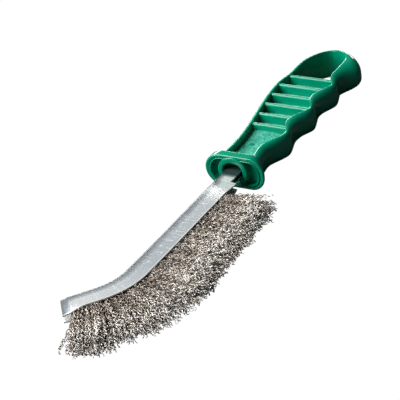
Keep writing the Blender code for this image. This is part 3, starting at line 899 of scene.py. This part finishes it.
def sheetSection(spine, way, depth, halfBody, halfLip):
    # A closed section of the sheet: its outside from lip to lip, then its inside back again
    sheet, least, (bevelDown, bevelIn) = channel["sheet"], channel["leastHalf"], channel["lipBevel"]
    cheekStart, cheekRest, cheekPower = channel["cheekBend"]
    radius = min(channel["foldRadius"], halfBody - least)
    innerRadius = max(radius - sheet, least)
    outside, inside = [], []
    for share in channel["cheekShares"]:
        n = mix(radius, depth, share)
        z = mix(halfBody, halfLip, ((share - cheekStart) / cheekRest) ** cheekPower)
        outside.append((n, z))
        inside.append((n, z - sheet))
    outside[0] = (depth - bevelDown, halfLip)
    inside[0] = (depth, max(halfLip - sheet, least))
    for turn in quarterTurn(channel["foldSteps"]):
        outside.append((radius * (1 - math.sin(turn)), halfBody - radius * (1 - math.cos(turn))))
        inside.append((sheet + innerRadius * (1 - math.sin(turn)),
                       halfBody - sheet - innerRadius * (1 - math.cos(turn))))
    half = [(depth, halfLip - bevelIn)] + outside
    loop = half + [(n, -z) for n, z in reversed(half)] + [(n, -z) for n, z in inside] + inside[::-1]
    return [spine + way * n + Vector((0, 0, midHeight + z)) for n, z in loop]


def channelSections():
    # Sections from inside the ring boss to the toe, and how far along the sheet each one lies
    tangFront, tangEnd = channel["tangPlaces"][0], channel["rear"] + channel["tangGap"]
    rearSpine = pathPoint(0)[0].y
    sections, lengths = [], []
    for x in (*channel["tangPlaces"], tangEnd):
        share = blendOver(x, channel["tangSpreads"], tangEnd)
        half = mix(channel["tangHalf"], channel["rearHalf"], share)
        spine = Vector((x, mix(channel["tangY"], rearSpine, share), 0))
        sections.append(sheetSection(spine, Vector((0, -1, 0)), channel["tangDepth"], half, half))
        lengths.append(tangFront - x)
    (firstStep, steps), straight = channel["straightSteps"], channel["straight"]
    distances = [*channel["rearPlaces"]] + [straight * i / steps for i in range(firstStep, steps)]
    steps = channel["bendSteps"]
    distances += [straight + bendLength * i / steps for i in range(steps + 1)]
    steps = channel["toeSteps"]
    distances += [straight + bendLength + channel["toeLength"] * i / steps for i in range(1, steps + 1)]
    slant = math.tan(math.radians(channel["toeSlantDegrees"]))
    for distance in distances:
        spine, along, way = pathPoint(distance)
        deeper = smoothBlend(1 - distance / channel["rearDepthLength"])
        depth = mix(channel["depth"], channel["rearDepth"], deeper)
        slanted = way + along * (slant * toeBlend(distance, channel["toePinch"]))
        sections.append(sheetSection(spine, slanted, depth, halfBodyAt(distance), halfLipAt(distance)))
        lengths.append(tangFront - channel["rear"] + distance)
    return sections, lengths


def closeEnd(shape, row, outerCount):
    # Fills an end of the sheet between its outside points and its inside points, which run back
    outerSteps, innerSteps = outerCount - 1, len(row) - outerCount - 1
    for i in range(outerSteps):
        j, k = [len(row) - 1 - round(place * innerSteps / outerSteps) for place in (i, i + 1)]
        corners = (row[i], row[i + 1], row[k], row[j])
        shape.faces.new(corners if j != k else corners[:3])


def makeChannel():
    rows, lengths = channelSections()
    shape = bmesh.new()
    uvLayer = shape.loops.layers.uv.new("UVMap")
    made = [[shape.verts.new(point * mm) for point in row] for row in rows]
    full = rows[channel["fullSection"]]
    girth = [0.0]
    for a, b in zip(full, full[1:]):
        girth.append(girth[-1] + (b - a).length)
    girth.append(girth[-1] + channel["sheet"])
    count = len(full)
    for r in range(len(rows) - 1):
        for i in range(count):
            j = (i + 1) % count
            face = shape.faces.new((made[r][i], made[r][j], made[r + 1][j], made[r + 1][i]))
            places = ((r, i), (r, i + 1), (r + 1, i + 1), (r + 1, i))
            for loop, (row, column) in zip(face.loops, places):
                loop[uvLayer].uv = (lengths[row] * mm, girth[column] * mm)
    outerCount = 2 * (1 + len(channel["cheekShares"]) + channel["foldSteps"] + 1)
    closeEnd(shape, made[0], outerCount)
    closeEnd(shape, made[-1], outerCount)
    mesh = meshFromBmesh("channelSheet", shape)
    mesh.materials.append(galvanisedSheet)
    mesh.set_sharp_from_angle(angle=math.radians(channel["sharpDegrees"]))
    newObject("channelSheet", mesh, ("channel",))


makeChannel()
print("channel ready")


# Wires: every strand is a thin crimped tube, in eight lengths as the fill is packed

wires = {
    "fills": 8,
    "perFill": 420,
    "quickShare": 4,
    "radius": 0.23,
    "sides": 3,
    "reaches": ((9.5, 25.5), (20, 28.0), (34, 29.0), (62, 30.0), (94, 34.0), (110, 35.5), (121, 34.0)),
    "roundedEnd": 0.24,
    "roundedPower": 1.6,
    "ragged": 0.3,
    "raggedPower": 1.4,
    "rearMargin": 11.5,
    "toeMargin": 2.5,
    "rootDepth": 8.5,
    "rootGap": 0.35,
    "tipHalf": 4.2,
    "spreadPower": 1.1,
    "mostHalf": 7.4,  # no wire strays further from the middle plane
    "toeLeanDegrees": 21.0,
    "toeLeanShare": 0.3,
    "rearLeanDegrees": 3.0,
    "rearLeanLength": 16.0,
    "bowAlong": 0.5,  # how far tips bend along the brush, beside their clump's own shift
    "bowUp": 0.4,
    "bowPower": 1.6,
    "crimpHeight": 0.62,
    "crimpHeightVaries": (0.7, 1.25),
    "crimpLength": 3.4,
    "crimpLengthVaries": (0.8, 1.2),
    "crossCrimpHeight": 0.5,
    "crossCrimpRate": 0.61,
    "crimpStarts": 8,  # the crimp is full from an eighth of the length on
    "pointsPerCrimp": 6,
    "clumpLength": 2.2,
    "clumpRows": 2.4,  # rows of clumps on each side of the middle
    "clumpMixing": 0.3,
    "clumpShift": 0.35,
    "clumpRise": 0.6,
    "clumpLonger": 0.03,
    "clumpTone": 0.07,
    "loose": 0.05,
    "strayShare": 0.06,
    "strayLoose": 0.15,
    "strayLonger": 0.05,
    "tones": (0.0, 0.64),
    # painted light that lifts the tips out of the shade that the wires cast on each other
    "paintedTipLight": 0.8,
    "paintedTipLightPower": 4,
    "seed": 4127,
}
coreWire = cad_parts["core_wire"]
coreWire.data.materials.clear()
coreWire.data.materials.append(galvanisedSheet)


def makeClumps(chance):
    # Wires lie in clumps: each has its own shift along the brush and in height, its own length and tone
    shift, longer, tone = wires["clumpShift"], wires["clumpLonger"], wires["clumpTone"]
    clumps = {}  # a little past the ends and sides, for wires that mix with the next clump
    for i in range(-2, round(channelLength / wires["clumpLength"]) + 3):
        for j in range(-3, 4):
            clumps[i, j] = (chance.gauss(0, shift), chance.gauss(0, shift * wires["clumpRise"]),
                            chance.gauss(0, longer), chance.uniform(-tone, tone))
    return clumps


def leanAt(distance):
    # How far the wires fan out: towards the toe end, and a little back at the rear end
    fanStart = channelLength * (1 - wires["toeLeanShare"])
    lean = math.sin(math.radians(wires["toeLeanDegrees"])) * blendOver(distance, fanStart, channelLength)
    return lean - math.sin(math.radians(wires["rearLeanDegrees"])) * smoothBlend(
        1 - (distance - wires["rearMargin"]) / wires["rearLeanLength"])


def strandPoints(distance, across, clump, chance):
    # Root to tip of one wire: it spreads, leans with the fans at both ends, drifts with its clump and crimps
    spine, along, way = pathPoint(distance)
    shiftAlong, shiftUp, longer, _ = clump
    stray = chance.random() < wires["strayShare"]
    loose, strayLonger = (wires["strayLoose"], wires["strayLonger"]) if stray else (wires["loose"], 0.0)
    length = channel["depth"] - wires["rootDepth"] + tableValue(wires["reaches"], distance)
    rounded = 1 - wires["roundedEnd"] * abs(across) ** wires["roundedPower"]
    ragged = wires["ragged"] * chance.random() ** wires["raggedPower"]
    reach = length * rounded * (1 - ragged + longer + strayLonger)
    direction = (way + along * leanAt(distance)).normalized()
    direction = (direction + Vector((chance.gauss(0, loose), chance.gauss(0, loose), 0))).normalized()
    rootHalf = halfLipAt(distance) - channel["sheet"] - wires["rootGap"]
    side = direction.cross(Vector((0, 0, 1)))
    plane = chance.uniform(0, math.pi)
    crimpSide = side * math.cos(plane) + Vector((0, 0, math.sin(plane)))
    otherSide = crimpSide.cross(direction)
    phase, otherPhase = chance.uniform(0, 2 * math.pi), chance.uniform(0, 2 * math.pi)
    height = wires["crimpHeight"] * chance.uniform(*wires["crimpHeightVaries"])
    waveLength = wires["crimpLength"] * chance.uniform(*wires["crimpLengthVaries"])
    bow = side * (shiftAlong + chance.gauss(0, wires["bowAlong"]))
    bow += Vector((0, 0, shiftUp + chance.gauss(0, wires["bowUp"])))
    crossHeight, crossRate = wires["crossCrimpHeight"], wires["crossCrimpRate"]
    count = max(4, round(reach / waveLength * wires["pointsPerCrimp"]))
    points = []
    for i in range(count + 1):
        share = i / count
        turns = 2 * math.pi * share * reach / waveLength
        start = min(1, share * wires["crimpStarts"])
        point = spine + way * wires["rootDepth"] + direction * (reach * share)
        point += bow * share ** wires["bowPower"]
        point += crimpSide * (height * math.sin(turns + phase) * start)
        point += otherSide * (height * crossHeight * math.sin(turns * crossRate + otherPhase) * start)
        spread = across * mix(rootHalf, wires["tipHalf"], share ** wires["spreadPower"])
        point.z = midHeight + min(max(point.z + spread, -wires["mostHalf"]), wires["mostHalf"])
        point.x = max(point.x, cadBox[0][0] / mm + wires["radius"])
        point.y = max(point.y, cadBox[0][1] / mm + wires["radius"])
        points.append(point)
    return points


def strandTube(points):
    # Corners of a thin tube round the points, in metres
    corners = []
    for i, point in enumerate(points):
        ahead = (points[min(i + 1, len(points) - 1)] - points[max(i - 1, 0)]).normalized()
        across = ahead.cross(Vector((0, 0, 1))).normalized()
        up = across.cross(ahead)
        for j in range(wires["sides"]):
            turn = 2 * math.pi * j / wires["sides"]
            corners.append((point + (across * math.cos(turn) + up * math.sin(turn)) * wires["radius"]) * mm)
    return corners


def tubeFaces(base, count):
    # The sides of a tube whose corners start at base, and its two ends
    sides = wires["sides"]
    faces = [tuple(reversed(range(base, base + sides)))]
    for row in range(base, base + count - sides, sides):
        for j in range(sides):
            k = (j + 1) % sides
            faces.append((row + j, row + k, row + sides + k, row + sides + j))
    faces.append(tuple(range(base + count - sides, base + count)))
    return faces


def makeFill(fill, perFill, clumps, chance):
    start, end = wires["rearMargin"], channelLength - wires["toeMargin"]
    corners, faces, tones = [], [], []
    for i in range(perFill):
        distance = mix(start, end, (fill + (i + chance.random()) / perFill) / wires["fills"])
        across = chance.uniform(-1, 1)
        place = distance / wires["clumpLength"] + chance.gauss(0, wires["clumpMixing"])
        row = across * wires["clumpRows"] + chance.gauss(0, wires["clumpMixing"])
        clump = clumps[round(place), round(row)]
        tube = strandTube(strandPoints(distance, across, clump, chance))
        faces += tubeFaces(len(corners), len(tube))
        corners += tube
        tone = chance.uniform(*wires["tones"]) + clump[-1]
        count = len(tube) // wires["sides"]
        for corner in range(len(tube)):
            # Painted light: the tone rises towards each tip, where the wires shade each other
            paintedLight = wires["paintedTipLight"] * (corner // wires["sides"] / count) ** wires["paintedTipLightPower"]
            tones.append(min(max(tone + paintedLight, 0), 1))
    name = f"wireFill{fill + 1}"
    mesh = bpy.data.meshes.new(name)
    mesh.from_pydata(corners, [], faces)
    mesh.attributes.new("wireToneAndTipLight", "FLOAT", "POINT").data.foreach_set("value", tones)
    mesh.shade_smooth()
    mesh.materials.append(crimpedWire)
    newObject(name, mesh, (f"wire_fill_{fill + 1:02d}",))


def makeWires():
    chance = random.Random(wires["seed"])
    clumps = makeClumps(chance)
    perFill = wires["perFill"]
    for fill in range(wires["fills"]):
        makeFill(fill, perFill, clumps, chance)


makeWires()
print("wires ready")


# Floor, lights and camera

studio = {
    "floorSize": 6.0,
    "skyColour": (0.03, 0.035, 0.038),
    "lights": (
        # name, place, aimed at, width and height in metres, radiance
        ("topSoftbox", (-0.34, 0.66, 0.72), (-0.02, 0.0, 0.0), 0.9, 0.9, 9.5),
        ("backPanel", (0.85, 0.60, 0.52), (0.0, 0.0, 0.0), 1.1, 0.40, 0.12),
        ("lowBackStrip", (0.78, 0.66, 0.17), (0.0, 0.0, 0.0), 1.3, 0.16, 11.0),
        ("frontFill", (-1.2, 0.1, 0.5), (0.0, 0.0, 0.0), 0.7, 0.5, 1.2),
    ),
}


def makeWorld():
    world = bpy.data.worlds.new("studioWorld")
    bpy.context.scene.world = world
    world.use_nodes = True
    tree = world.node_tree
    quiet = tree.nodes["Background"]
    quiet.inputs["Color"].default_value = (*studio["skyColour"], 1)
    seen = tree.nodes.new("ShaderNodeBackground")
    seen.inputs["Color"].default_value = (1, 1, 1, 1)
    showOnlyToCamera(tree, quiet.outputs["Background"], seen.outputs["Background"], "World Output")


def makeStudio():
    bpy.ops.mesh.primitive_plane_add(size=studio["floorSize"])
    floor = bpy.context.object
    floor.name = "studioFloor"
    floor.data.materials.append(makeFloorMaterial())
    makeWorld()
    for name, place, target, width, height, radiance in studio["lights"]:
        light = bpy.data.lights.new(name, "AREA")
        light.shape = "RECTANGLE"
        light.size = width
        light.size_y = height
        light.energy = radiance * math.pi * width * height
        lamp = bpy.data.objects.new(name, light)
        lamp.location = place
        lamp.rotation_euler = (Vector(target) - Vector(place)).to_track_quat("-Z", "Y").to_euler()
        lamp.visible_camera = False
        bpy.context.scene.collection.objects.link(lamp)


cameraSet = {
    "place": (-0.7366, -0.4806, 0.4896),
    "forward": (0.719, 0.492, -0.490),
    "rollDegrees": -8.76,
    "lens": 185.4,
    "sensorWidth": 36,
    "clipStart": 0.01,
}


def makeCamera():
    lens = bpy.data.cameras.new("photoCamera")
    lens.lens = cameraSet["lens"]
    lens.sensor_width = cameraSet["sensorWidth"]
    lens.clip_start = cameraSet["clipStart"]
    camera = bpy.data.objects.new("photoCamera", lens)
    camera.location = cameraSet["place"]
    camera.rotation_mode = "QUATERNION"
    aim = Vector(cameraSet["forward"]).to_track_quat("-Z", "Y")
    camera.rotation_quaternion = aim @ Quaternion((0, 0, 1), math.radians(cameraSet["rollDegrees"]))
    bpy.context.scene.collection.objects.link(camera)
    bpy.context.scene.camera = camera


makeStudio()
makeCamera()
bpy.context.scene.view_settings.view_transform = "Standard"
print("studio ready")

bpy.context.view_layer.update()
